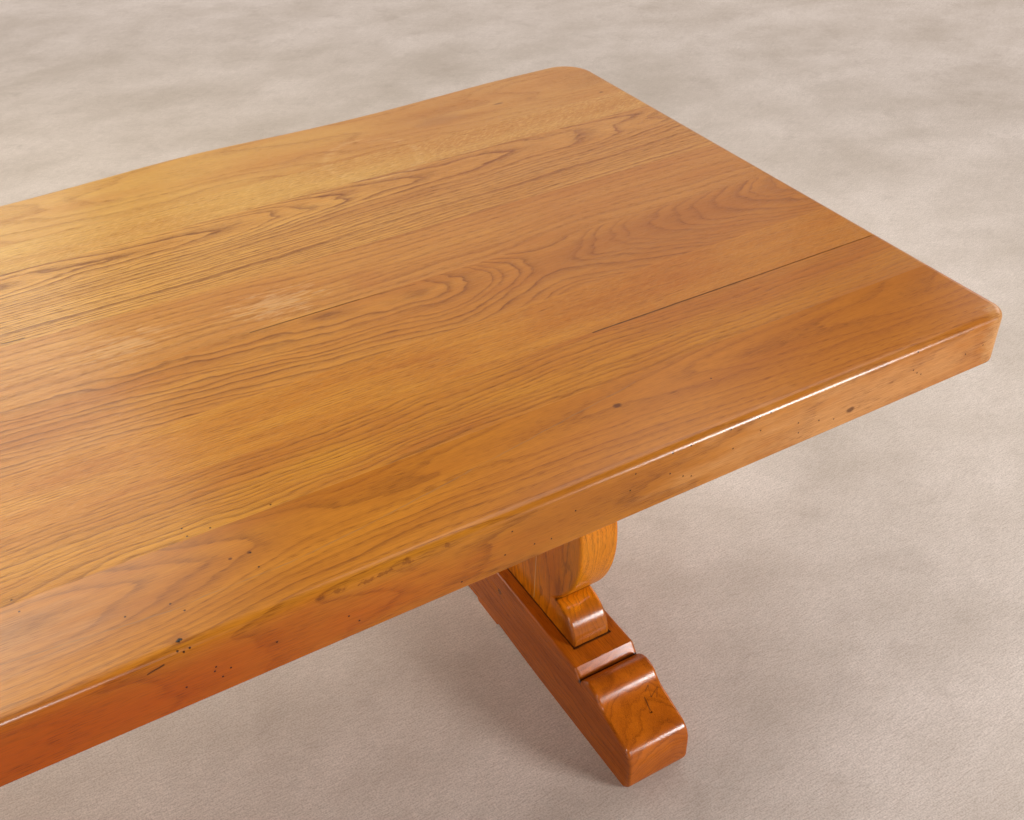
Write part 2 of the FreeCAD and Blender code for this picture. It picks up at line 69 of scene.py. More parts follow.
class Graph:
    """The node tree of one material or of the world."""

    def __init__(self, holder: bpy.types.Material | bpy.types.World) -> None:
        """Empties the holder's tree.

        Args:
            holder: the material or the world.
        """
        holder.use_nodes = True
        self.holder = holder
        self.tree = holder.node_tree
        self.tree.nodes.clear()

    def add(self, kind: str, *feeds: Feed, out: int | str | None = 0, named: dict[int | str, Feed] | None = None,
            stops: Sequence[tuple[float, float]] = (), **settings: object) -> Socket | None:
        """Adds a node with its settings and links.

        Args:
            kind: the node's type without its ShaderNode prefix.
            feeds: what its inputs take in order: a socket to link, a value to set, or None to leave one be.
            out: the output to give back, or None for a node that has none.
            named: the same for inputs by name or number.
            stops: positions and grey levels of a colour ramp.
            settings: the node's properties.

        Returns:
            The output socket.
        """
        node = self.tree.nodes.new("ShaderNode" + kind)
        for key, value in settings.items():
            setattr(node, key, value)
        for key, value in [*enumerate(feeds), *(named or {}).items()]:
            if isinstance(value, Socket):
                self.tree.links.new(value, node.inputs[key])
            elif value is not None:
                node.inputs[key].default_value = value
        for number, (place, grey) in enumerate(stops):
            band = node.color_ramp.elements
            stop = band[number] if number < 2 else band.new(place)
            stop.position = place
            stop.color = (grey, grey, grey, 1.0)
        return None if out is None else node.outputs[out]


class Grain(Enum):
    """The way the fibres of a piece run, as the turn that lays them along X."""

    ALONG = (0.0, 0.0, 0.0)
    ACROSS = (0.0, 0.0, -math.pi / 2)
    UPRIGHT = (0.0, math.pi / 2, 0.0)


class Mark(Protocol):
    """Something that years of use left on the wood."""

    tint: str
    strength: float
    dulling: float
    depth: float
    under: bool  # whether fibres and pores show over it

    def mask(self, graph: Graph, point: Socket) -> Socket:
        """Gives one where the mark is and zero elsewhere."""


@dataclass(frozen=True)
class Patch:
    """A knot, scuff or smoky area: an ellipsoid with a ragged edge. Places and radii in mm."""

    centre: Point
    radii: Point
    tint: str
    strength: float = 0.8
    core: float = 0.4  # share of the radius that is fully covered
    rag: float = 0.5  # how far the edge strays, in radii
    rag_size: Point = (10.0, 4.0, 4.0)
    dulling: float = 0.0
    depth: float = 0.0
    under: bool = False

    def mask(self, graph: Graph, point: Socket) -> Socket:
        """Shapes the patch.

        Args:
            graph: the material's nodes.
            point: the place on the table in mm.

        Returns:
            One inside the patch, zero outside.
        """
        away = graph.add("VectorMath", point, self.centre, operation="SUBTRACT")
        share = graph.add("VectorMath", away, self.radii, operation="DIVIDE")
        far = graph.add("VectorMath", share, out="Value", operation="LENGTH")
        grain = graph.add("Mapping", point, None, None, tuple(1 / size for size in self.rag_size))
        noise = graph.add("TexNoise", grain, None, 1.0, 3.0)
        ragged = graph.add("Math", noise, 2 * self.rag, far, operation="MULTIPLY_ADD")
        low = self.core + self.rag
        return graph.add("MapRange", ragged, low, 1 + self.rag, 1.0, 0.0, interpolation_type="SMOOTHSTEP")


@dataclass(frozen=True)
class Streak:
    """A crack, grey line or line of old dirt between two points. Places and width in mm."""

    start: Point
    end: Point
    half_width: float
    tint: str
    strength: float = 0.8
    waver: float = 1.5  # how far the line strays from straight
    dulling: float = 0.0
    depth: float = 0.0
    under: bool = False

    def mask(self, graph: Graph, point: Socket) -> Socket:
        """Shapes the streak.

        Args:
            graph: the material's nodes.
            point: the place on the table in mm.

        Returns:
            One on the line, zero away from it.
        """
        run = Vector(self.end) - Vector(self.start)
        waves = graph.add("Mapping", point, None, None, (1 / 40,) * 3)
        noise = graph.add("TexNoise", waves, None, 1.0, 3.0, out="Color")
        stray = graph.add("VectorMath", noise, (0.5,) * 3, operation="SUBTRACT")
        shift = graph.add("VectorMath", stray, named={"Scale": 2 * self.waver}, operation="SCALE")
        moved = graph.add("VectorMath", point, shift, operation="ADD")
        away = graph.add("VectorMath", moved, self.start, operation="SUBTRACT")
        share = graph.add("VectorMath", away, run / run.length_squared, out="Value", operation="DOT_PRODUCT")
        kept = graph.add("Clamp", share)
        foot = graph.add("VectorMath", tuple(run), named={"Scale": kept}, operation="SCALE")
        far = graph.add("VectorMath", away, foot, out="Value", operation="DISTANCE")
        return graph.add("MapRange", far, 0.3 * self.half_width, 1.2 * self.half_width, 1.0, 0.0,
                         interpolation_type="SMOOTHSTEP")


@dataclass(frozen=True)
class RingStain:
    """The pale broken ring that a hot dish left. Places and sizes in mm."""

    centre: Point
    radius: float
    half_width: float
    tint: str
    strength: float = 0.5
    dulling: float = 0.1
    depth: float = 0.0
    under: bool = False

    def mask(self, graph: Graph, point: Socket) -> Socket:
        """Shapes the ring.

        Args:
            graph: the material's nodes.
            point: the place on the table in mm.

        Returns:
            One on the ring, zero away from it.
        """
        far = graph.add("VectorMath", point, self.centre, out="Value", operation="DISTANCE")
        grain = graph.add("Mapping", point, None, None, (1 / 30, 1 / 6, 1 / 6))
        noise = graph.add("TexNoise", grain, None, 1.0, 3.0, 0.6)
        strayed = graph.add("Math", noise, 2 * self.half_width, far, operation="MULTIPLY_ADD")
        off = graph.add("Math", strayed, self.radius, operation="SUBTRACT")
        near = graph.add("Math", off, operation="ABSOLUTE")
        band = graph.add("MapRange", near, 0.0, self.half_width, 1.0, 0.0, interpolation_type="SMOOTHSTEP")
        broken = graph.add("MapRange", noise, 0.46, 0.6, 0.0, 1.0)
        return graph.add("Math", band, broken, operation="MULTIPLY")


@dataclass(frozen=True)
class WormHoles:
    """Pin holes that beetles left. Places and radius in mm."""

    places: tuple[Point, ...]
    radius: float = 1.2
    tint: str = "#2a1206"
    strength: float = 0.88
    dulling: float = 0.1
    depth: float = 0.6
    under: bool = False

    def mask(self, graph: Graph, point: Socket) -> Socket:
        """Shapes the holes.

        Args:
            graph: the material's nodes.
            point: the place on the table in mm.

        Returns:
            One in a hole, zero elsewhere.
        """
        nearest = None
        for place in self.places:
            far = graph.add("VectorMath", point, place, out="Value", operation="DISTANCE")
            nearest = graph.add("Math", nearest, far, operation="MINIMUM") if nearest else far
        return graph.add("MapRange", nearest, 0.6 * self.radius, 1.2 * self.radius, 1.0, 0.0,
                         interpolation_type="SMOOTHSTEP")


@dataclass(frozen=True)
class OakFigure:
    """How a piece was sawn from its tree: where the heart lies and how the rings show. Sizes in mm."""

    heart: Point  # a point of the heart line
    grain: Grain = Grain.ALONG
    drift: float = 0.0  # sideways run of the heart line for one mm along the grain
    dip: float = 0.0  # its run in depth
    turn_at: float = 5000.0  # where along the grain, from the heart point, the heart line bends
    turn_drift: float = 0.0
    turn_dip: float = 0.0
    turn_slope: float = 0.0  # how fast the rings run out of the face beyond the bend
    swell: Point = (0.0, 1.0, 0.0)  # start and end along the grain of a stretch where the rings sink, and how far
    ring: float = 8.0  # between two ring lines
    wander: float = 8.0
    wander_size: tuple[float, float] = (420.0, 110.0)  # along and across the grain
    ripple: float = 3.0
    ripple_size: tuple[float, float] = (120.0, 30.0)
    lines: float = 0.4
    pores: float = 0.5
    fleck: float = 0.0
    seed: float = 0.0


@dataclass(frozen=True)
class OakTone:
    """The colours of one piece of oak under its clear finish."""

    light: str
    deep: str
    line: str
    pore: str = "#5e2f0e"
    fleck: str = "#e3b46c"


@dataclass(frozen=True)
class Lacquer:
    """A clear coat on the wood, or none. It turns the oak to amber and shows soft reflections."""

    roughness: float
    coat: float
    coat_roughness: float
    ior: float
    coat_ior: float = 1.5
    amber: str = "#ffcf8c"  # the tint that the old coat gives to the sheen
    pore_relief: float = 0.00018  # metres
    hand_relief: float = 0.0005  # slow waves that hand tools left, metres


# The top's lacquer is rubbed to a satin. Hands have worn the near board's, which throws back less of the floor. The
# trestle kept its gloss, and the hidden tongues were never coated.
SATIN = Lacquer(roughness=0.36, coat=0.2, coat_roughness=0.18, ior=1.31)
HANDLED = Lacquer(roughness=0.36, coat=0.3, coat_roughness=0.24, ior=1.06, coat_ior=2.0, pore_relief=0.0001)
GLOSS = Lacquer(roughness=0.3, coat=0.45, coat_roughness=0.18, ior=1.04, coat_ior=1.8)
BARE = Lacquer(roughness=0.62, coat=0.0, coat_roughness=0.3, ior=1.45, amber="#ffffff")


@dataclass(frozen=True)
class OakWood:
    """Solid oak, sawn, planed and lacquered. It shows dark ring lines, pore dashes and a warm depth."""

    figure: OakFigure
    tone: OakTone
    lacquer: Lacquer
    marks: tuple[Mark, ...] = ()

    def place(self, graph: Graph) -> tuple[Socket, Socket]:
        """Finds where a point lies on the table and in the tree.

        Args:
            graph: the material's nodes.

        Returns:
            The place on the table, and the place from the heart point with X along the grain, both in mm.
        """
        metres = graph.add("TexCoord", out="Object")
        point = graph.add("VectorMath", metres, named={"Scale": MM_PER_M}, operation="SCALE")
        away = graph.add("VectorMath", point, self.figure.heart, operation="SUBTRACT")
        return point, graph.add("Mapping", away, None, self.figure.grain.value)

    def noise(self, graph: Graph, tree: Socket, along: float, across: float, detail: float = 2.0,
              out: str = "Fac") -> Socket:
        """Adds noise that is longer along the grain than across it.

        Args:
            graph: the material's nodes.
            tree: the place in the tree in mm.
            along: size along the grain in mm.
            across: size across the grain in mm.
            detail: octaves of the noise.
            out: the output to give back.

        Returns:
            The noise.
        """
        shift = (self.figure.seed * 7.3, self.figure.seed * 3.1, self.figure.seed * 5.7)
        scaled = graph.add("Mapping", tree, shift, None, (1 / along, 1 / across, 1 / across))
        return graph.add("TexNoise", scaled, None, 1.0, detail, 0.55, out=out)

    def ring_radius(self, graph: Graph, tree: Socket) -> Socket:
        """Measures the distance from the wandering heart line.

        Args:
            graph: the material's nodes.
            tree: the place in the tree in mm.

        Returns:
            The radius in mm.
        """
        figure = self.figure
        drawn = self.noise(graph, tree, *figure.wander_size, out="Color")
        stray = graph.add("VectorMath", drawn, (0.5,) * 3, operation="SUBTRACT")
        shift = graph.add("VectorMath", stray, named={"Scale": 2 * figure.wander}, operation="SCALE")
        bent = graph.add("VectorMath", tree, shift, operation="ADD")
        along, side, deep = (graph.add("VectorMath", bent, axis, out="Value", operation="DOT_PRODUCT")
                             for axis in ((1, 0, 0), (0, 1, 0), (0, 0, 1)))
        past = graph.add("Math", along, figure.turn_at, operation="SUBTRACT")
        over = graph.add("Math", past, 0.0, 120.0, operation="SMOOTH_MAX")
        side = graph.add("Math", along, -figure.drift, side, operation="MULTIPLY_ADD")
        side = graph.add("Math", over, -figure.turn_drift, side, operation="MULTIPLY_ADD")
        deep = graph.add("Math", along, -figure.dip, deep, operation="MULTIPLY_ADD")
        deep = graph.add("Math", over, -figure.turn_dip, deep, operation="MULTIPLY_ADD")
        spoke = graph.add("CombineXYZ", side, deep)
        radius = graph.add("VectorMath", spoke, out="Value", operation="LENGTH")
        start, end, sunk = figure.swell
        swell = graph.add("MapRange", along, start, end, 0.0, sunk, interpolation_type="SMOOTHSTEP")
        radius = graph.add("Math", radius, swell, operation="ADD")
        radius = graph.add("Math", over, -figure.turn_slope, radius, operation="MULTIPLY_ADD")
        ripple = self.noise(graph, tree, *figure.ripple_size, detail=3.0)
        return graph.add("Math", ripple, 2 * figure.ripple, radius, operation="MULTIPLY_ADD")

    def ring_lines(self, graph: Graph, tree: Socket) -> tuple[Socket, Socket]:
        """Draws the dark early wood of each year.

        Args:
            graph: the material's nodes.
            tree: the place in the tree in mm.

        Returns:
            The early wood from zero to one, and the same with years and stretches that fade.
        """
        radius = self.ring_radius(graph, tree)
        years = graph.add("Math", radius, 1 / self.figure.ring, operation="MULTIPLY")
        slow = graph.add("TexNoise", None, years, 0.35, 1.0, noise_dimensions="1D")
        count = graph.add("Math", slow, 2.5, years, operation="MULTIPLY_ADD")
        share = graph.add("Math", count, operation="FRACT")
        year = graph.add("Math", count, operation="FLOOR")
        early = graph.add("ValToRGB", share, stops=YEAR_RAMP)
        lot = graph.add("TexWhiteNoise", named={"W": year}, noise_dimensions="1D")
        dark = graph.add("MapRange", lot, 0.0, 1.0, 0.45, 1.0)
        faded = self.noise(graph, tree, *FADE_SIZE)
        kept = graph.add("MapRange", faded, 0.34, 0.54, 0.6, 1.0)
        toned = graph.add("Math", early, dark, operation="MULTIPLY")
        return early, graph.add("Math", toned, kept, operation="MULTIPLY")

    def pore_dashes(self, graph: Graph, tree: Socket, early: Socket) -> Socket:
        """Draws the open pores.

        Args:
            graph: the material's nodes.
            tree: the place in the tree in mm.
            early: the early wood, which holds the most pores.

        Returns:
            One in a pore, zero elsewhere.
        """
        noise = self.noise(graph, tree, *PORE_SIZE, detail=1.0)
        open_pores = graph.add("MapRange", noise, 0.5, 0.66, 0.0, 1.0)
        crowd = graph.add("MapRange", early, 0.0, 0.5, 0.4, 1.0)
        return graph.add("Math", open_pores, crowd, operation="MULTIPLY")

    def ray_fleck(self, graph: Graph, tree: Socket) -> Socket:
        """Draws the short slanted rays of quarter-sawn wood.

        Args:
            graph: the material's nodes.
            tree: the place in the tree in mm.

        Returns:
            One on a ray, zero elsewhere.
        """
        slanted = graph.add("Mapping", tree, None, (0.0, 0.0, RAY_SLANT), (1.0, 1.0, 1.0))
        noise = self.noise(graph, slanted, *RAY_SIZE)
        return graph.add("MapRange", noise, 0.5, 0.68, 0.0, 1.0)

    def material(self, name: str) -> bpy.types.Material:
        """Makes the finish of one piece.

        Args:
            name: the material's name.

        Returns:
            The material.
        """
        graph = Graph(bpy.data.materials.new(name))
        figure = self.figure
        point, tree = self.place(graph)
        early, lines = self.ring_lines(graph, tree)
        pores = self.pore_dashes(graph, tree, early)
        cloud = self.noise(graph, tree, *CLOUD_SIZE, detail=3.0)
        clouded = graph.add("MapRange", cloud, 0.36, 0.66, 0.0, 1.0)
        fibre = self.noise(graph, tree, *FIBRE_SIZE, detail=3.0)
        threads = graph.add("MapRange", fibre, 0.4, 0.66, 0.0, 0.24)
        colour = graph.add("Mix", clouded, named={6: linear(self.tone.light), 7: linear(self.tone.deep)},
                           out=2, data_type="RGBA")
        layers = [(threads, 1.0, self.tone.line)]
        if figure.fleck:
            layers.append((self.ray_fleck(graph, tree), figure.fleck, self.tone.fleck))
        layers.append((pores, figure.pores, self.tone.pore))
        rough = graph.add("MapRange", cloud, 0.3, 0.7, self.lacquer.roughness - 0.05, self.lacquer.roughness + 0.05)
        height = graph.add("Math", pores, -self.lacquer.pore_relief, operation="MULTIPLY")
        hand = self.noise(graph, tree, *PLANE_SIZE, detail=1.0)
        height = graph.add("Math", hand, self.lacquer.hand_relief, height, operation="MULTIPLY_ADD")
        for mark in self.marks:
            mask = mark.mask(graph, point)
            if mark.strength:
                layers.insert(0 if mark.under else len(layers), (mask, mark.strength, mark.tint))
            if mark.dulling:
                rough = graph.add("Math", mask, mark.dulling, rough, operation="MULTIPLY_ADD")
            if mark.depth:
                height = graph.add("Math", mask, -mark.depth / MM_PER_M, height, operation="MULTIPLY_ADD")
        layers.insert(0, (lines, figure.lines, self.tone.line))
        for mask, strength, tint in layers:
            share = graph.add("Math", mask, strength, operation="MULTIPLY")
            colour = graph.add("Mix", share, named={6: colour, 7: linear(tint)}, out=2, data_type="RGBA")
        rough = graph.add("Math", pores, 0.15, rough, operation="MULTIPLY_ADD")
        bump = graph.add("Bump", 1.0, 1.0, named={"Height": height})
        shader = graph.add("BsdfPrincipled", colour, named={
            "Roughness": rough, "IOR": self.lacquer.ior, "Specular Tint": linear(self.lacquer.amber), "Normal": bump,
            "Coat Weight": self.lacquer.coat, "Coat Roughness": self.lacquer.coat_roughness,
            "Coat IOR": self.lacquer.coat_ior})
        graph.add("OutputMaterial", shader, out=None)
        return graph.holder


@dataclass(frozen=True)
class ZincSteel:
    """Zinc-plated steel, turned and rolled. It is grey, dull and a little streaked."""

    colour: str = "#8f9194"
    dull: str = "#6c6e70"
    roughness: float = 0.42
    streak: float = 1.2  # mm across
    streak_length: float = 12.0  # mm

    def material(self, name: str) -> bpy.types.Material:
        """Makes the finish.

        Args:
            name: the material's name.

        Returns:
            The material.
        """
        graph = Graph(bpy.data.materials.new(name))
        metres = graph.add("TexCoord", out="Object")
        scale = tuple(MM_PER_M / size for size in (self.streak, self.streak, self.streak_length))
        streaks = graph.add("Mapping", metres, None, None, scale)
        noise = graph.add("TexNoise", streaks, None, 1.0, 3.0)
        colour = graph.add("Mix", noise, named={6: linear(self.colour), 7: linear(self.dull)}, out=2,
                           data_type="RGBA")
        rough = graph.add("MapRange", noise, 0.3, 0.7, self.roughness - 0.1, self.roughness + 0.12)
        bump = graph.add("Bump", 0.4, 0.0001, named={"Height": noise})
        shader = graph.add("BsdfPrincipled", colour, 1.0, rough, named={"Normal": bump})
        graph.add("OutputMaterial", shader, out=None)
        return graph.holder


def dress(node: str, material: bpy.types.Material) -> None:
    """Gives a piece of the frame its finish.

    Args:
        node: the piece's name.
        material: its finish.
    """
    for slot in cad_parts[node].material_slots:
        slot.material = material
    LOG.info("%s wears %s", node, material.name)


def middle(node: str) -> Vector:
    """Gives the middle of a piece's box in mm."""
    low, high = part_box(node)
    return (Vector(low) + Vector(high)) / 2 * MM_PER_M


def on_top(x: float, y: float) -> Point:
    """Gives the point of the tabletop's upper face at a place in mm."""
    return (x, y, TOP_FACE)


def on_edge(x: float, z: float) -> Point:
    """Gives the point of the near long edge at a place in mm."""
    return (x, NEAR_FACE, z)


DISH_STAIN = RingStain(on_top(597, 323), 88, 12, "#e8c48e", strength=0.2)
SCUFF_LEFT = Patch(on_top(112, 2), (56, 34, 60), "#dcb585", 0.26, 0.0, 2.2, (20, 2.6, 2.6), 0.08)
SCUFF_RIGHT = Patch(on_top(305, -2), (60, 36, 60), "#dcb585", 0.3, 0.0, 2.2, (20, 2.6, 2.6), 0.08)
# Painted shade: the top darker and redder towards its right end, where less light and less sheen fall.
PAINTED_SHADE_RIGHT_END = Patch(on_top(1000, 0), (800, 2500, 300), "#9d5926", 0.5, 0.2, 0.2, (260, 50, 50), under=True)
SHADE = "#2a1206"
OPEN_LINE = (Streak(on_top(616, -273.5), on_top(850, -273.5), 1.3, SHADE, 0.85, waver=0.3),
             Streak(on_top(850, -273.5), on_top(1085, -273.5), 1.1, SHADE, 0.6, waver=0.3))
GLUE_CRACK = (Streak(on_top(251, -49.3), on_top(400, -49.6), 1.2, SHADE, 0.75, waver=0.5),
              Streak(on_top(400, -49.6), on_top(480, -54), 0.9, SHADE, 0.55, waver=1.0))
GREY = "#80613f"
CRACK = "#3a2416"
KNOT = "#4e2408"
SMOKE = "#8f5523"


@dataclass
class TableTop:
    """The eight boards of the top and the loose tongues in their joints."""

    boards: dict[int, tuple[OakFigure, OakTone, tuple[Mark, ...]]] = field(default_factory=dict)
    near_board: int = 8
    tongues: int = 7

    def __post_init__(self) -> None:
        """Sets the figure, colours and marks of each board, from the far edge to the near one."""
        self.boards = {
            1: (OakFigure((0, 430, 560), dip=0.03, ring=7, wander=20, lines=0.45, pores=0.42, seed=1),
                OakTone("#c99745", "#bf863c", "#945821"),
                (DISH_STAIN,
                 Patch(on_top(755, 398), (60, 24, 40), "#9a6433", 0.5, rag_size=(26, 10, 10)),
                 Patch(on_top(876, 407), (12, 3.5, 6), KNOT, 0.6),
                 Patch(on_top(1055, 355), (5, 4, 6), KNOT, 0.6))),
            2: (OakFigure((0, -160, 735), ring=4, wander=8, ripple=3, lines=0.55, pores=0.5, fleck=0.36, seed=2),
                OakTone("#ce9d47", "#c38c3e", "#935820"), (DISH_STAIN,)),
            3: (OakFigure((0, 232, 716), dip=-0.055, ring=6, wander=14, ripple=5, lines=1.0, pores=0.75, seed=3),
                OakTone("#d39a46", "#c5893d", "#733c12"),
                (DISH_STAIN,
                 Streak(on_top(430, 264), on_top(850, 264), 1.6, KNOT, 0.5),
                 Streak(on_top(-22, 88), on_top(6, 87), 1.2, "#2c1206", 0.85, depth=0.6),
                 Patch(on_top(250, 170), (800, 30, 60), SMOKE, 0.22, rag_size=(200, 20, 20), under=True))),
            4: (OakFigure((0, -330, 470), ring=9, wander=20, lines=0.55, pores=0.5, seed=4),
                OakTone("#c5883b", "#b77633", "#7d4519"),
                (SCUFF_LEFT, SCUFF_RIGHT, *GLUE_CRACK,
                 Patch(on_top(430, -12), (40, 40, 60), "#a8632c", 0.35, 0.1, 0.8, (30, 12, 12), under=True))),
            5: (OakFigure((0, -20, 690), drift=-0.115, turn_at=680, turn_drift=0.14, turn_slope=0.24,
                          swell=(470, 680, 52), ring=9, wander=12, wander_size=(260, 70), ripple=7,
                          ripple_size=(90, 36), lines=0.88, pores=0.45, seed=5),
                OakTone("#c28131", "#b36e28", "#6e3a14"),
                (Patch(on_top(830, -110), (310, 78, 90), SMOKE, 0.36, 0.3, 0.5, (150, 40, 40), under=True),
                 *GLUE_CRACK)),
            6: (OakFigure((0, -760, 640), ring=4, wander=6, ripple=2, lines=0.64, pores=0.55, fleck=0.08, seed=6),
                OakTone("#c6842b", "#b0681d", "#87490f"),
                (Patch(on_top(420, -232), (70, 40, 60), "#a85f1d", 0.4, 0.1, 0.8, (60, 14, 14), under=True),
                 *OPEN_LINE)),
            7: (OakFigure((0, -392, 706), dip=0.05, turn_at=320, turn_dip=-0.05, ring=7, wander=16,
                          wander_size=(300, 90), ripple=7, ripple_size=(120, 40), lines=0.72, pores=0.52,
                          seed=7),
                OakTone("#c68427", "#b06922", "#6f3b12"),
                (WormHoles((on_top(-105, -365), on_top(64, -353), on_top(89, -367), on_top(65, -367),
                            on_top(154, -366))), *OPEN_LINE)),
            8: (OakFigure((0, -404, 700), turn_at=285, turn_slope=0.05, swell=(-120, 260, 34), ring=9, wander=14,
                          ripple=6, lines=0.6, pores=0.52, seed=8),
                OakTone("#bf771d", "#ac6518", "#76400f"), self.near_marks()),
        }

    def near_marks(self) -> tuple[Mark, ...]:
        """Lists the marks of the near board: knots, pin holes, grey lines and worn places on its edge, and painted
        light on it: shade and light on its edge face, a sheen on its top and light on its near corner.

        Returns:
            The marks.
        """
        pins = [on_top(111, -445), on_top(111, -422), on_top(-102, -384), on_top(22, -448), on_top(31, -463),
                on_top(-19, -442), on_top(680, -427), (10, -505, 747), (15, -507, 745), (21, -506, 746)]
        pins += [on_edge(x, z) for x, z in (
            (651, 713), (690, 723), (749, 710), (752, 694), (783, 700), (808, 692), (934, 717), (942, 710),
            (950, 705), (1059, 710), (1028, 707), (562, 715), (581, 703), (593, 698), (514, 736), (508, 715),
            (437, 719), (407, 693), (386, 696), (359, 727), (350, 698), (298, 686), (173, 705), (183, 693), (39, 712),
            (37, 707), (52, 703), (43, 696), (9, 702), (99, 711))]
        nicks = [(x, -508, 743) for x in (564, 589, 645, 686, 703, 936)]
        knots = [((556, -413, TOP_FACE), (7, 5, 6)), ((91, -420, TOP_FACE), (2.6, 2.2, 3)),
                 ((110, -421, TOP_FACE), (3.2, 2.4, 3)), ((834, NEAR_FACE, 695), (9, 6, 5.5))]
        paws = [((148, -508, 743), (6, 4, 2.5)), ((167, -508, 743), (8, 4, 3)), ((197, -509, 741), (10, 4, 3)),
                ((216, -508, 742), (9, 4, 3)), ((240, -507, 744), (8, 5, 5)), ((284, -508, 743), (5, 4, 3))]
        bends = [(-131, -441), (20, -456), (165, -454), (300, -435), (600, -387)]
        marks: list[Mark] = [Patch(place, radii, KNOT, 0.8, rag=0.4) for place, radii in knots]
        marks += [Patch(place, radii, "#6f370e", 0.6, rag=1.2, rag_size=(4, 2.5, 2.5)) for place, radii in paws]
        marks += [Streak(on_top(*first), on_top(*last), 1.1, GREY, 0.45, waver=3.0)
                  for first, last in zip(bends[:-1], bends[1:])]
        marks += [Patch(on_top(16, -494), (16, 10, 12), "#8a4a16", 0.5),
                  Patch(on_top(15, -496), (3.4, 2.6, 5), "#120704", 1.0, 0.5, 0.7, (3, 3, 3), depth=2.0),
                  Streak((-20, NEAR_FACE, 738), (-5, -508.5, 741), 1.1, "#2c1206", 0.8, depth=0.4),
                  # Painted shade: the near edge darker and redder towards the left, where less light falls on it.
                  Patch((-340, -540, 700), (950, 64, 90), "#ae4602", 0.85, 0.55, 0.1, (60, 20, 20), under=True),
                  # Painted light: the near edge paler and more golden towards the right, where the key lamp falls on
                  # it.
                  Patch((850, -540, 702), (400, 64, 90), "#eab06e", 0.7, 0.4, 0.4, (80, 20, 20), under=True),
                  # Painted sheen: a pale veil on the near board's top at the left, standing in for reflected light.
                  Patch(on_top(-190, -440), (200, 90, 60), "#dcae7c", 0.22, 0.2, 0.5, (60, 12, 12), under=True),
                  # A pale near-right corner: some wear, and painted light where the key lamp catches it.
                  Patch((1088, -500, 715), (40, 34, 60), "#f6c888", 0.7, 0.3, 0.3, under=True),
                  WormHoles(tuple(pins)), WormHoles(tuple(nicks), 1.3)]
        return tuple(marks)

    def dress(self) -> None:
        """Gives every board and tongue its finish."""
        for number, (figure, tone, marks) in self.boards.items():
            # Every board also takes the painted shade at the top's right end.
            wood = OakWood(figure, tone, HANDLED if number == self.near_board else SATIN, (PAINTED_SHADE_RIGHT_END, *marks))
            dress("top_board_%d" % number, wood.material("Oak_lacquered_board_%d" % number))
        # Planed oak without a coat is pale, dry and matt.
        bare = OakWood(OakFigure((0, -600, 500), ring=5, lines=0.3, seed=20),
                       OakTone("#d2b083", "#c6a273", "#a07a4a", "#8a6a44"), BARE).material("Oak_planed_tongue")
        for number in range(1, self.tongues + 1):
            dress("top_tongue_%d" % number, bare)


TRESTLE_TONE = OakTone("#c86913", "#b15910", "#6c2d07", "#471b04")
# The staves are paler and yellower than the foot: partly their own tone, partly painted light standing in for bounce
# light on the upright's shaded inner face.
STAVE_TONE_WITH_PAINTED_LIGHT = OakTone("#ec8a0e", "#da760a", "#8a4206", "#5c2a05")
# Painted shade with some dirt: the dark of creases and notches where pieces meet, and of the crack's end.
DIRT_AND_CREASE_SHADE = "#1f0f06"
WORN_SHOE = "#8c4716"
# Painted light: a paler yellow on the stave above its shoe, where light from the left falls.
PAINTED_STAVE_LIGHT = "#f0ab2a"
OLD_GLUE = "#f0d283"
CRACK_BENDS = ((682, -357, 107), (691, -352, 111), (686, -368, 103), (704, -359, 107), (694, -372, 102))
FOOT_CRACK = (*(Streak(first, last, 1.2, CRACK, 0.5) for first, last in zip(CRACK_BENDS, CRACK_BENDS[1:])),
              Streak((676, -364, 105), (673, -384, 98), 1.5, CRACK, 0.7),
              Patch((673, -387, 96), (4, 3, 4), DIRT_AND_CREASE_SHADE, 0.9, 0.3, 1.0, (2.5, 2.5, 2.5)))


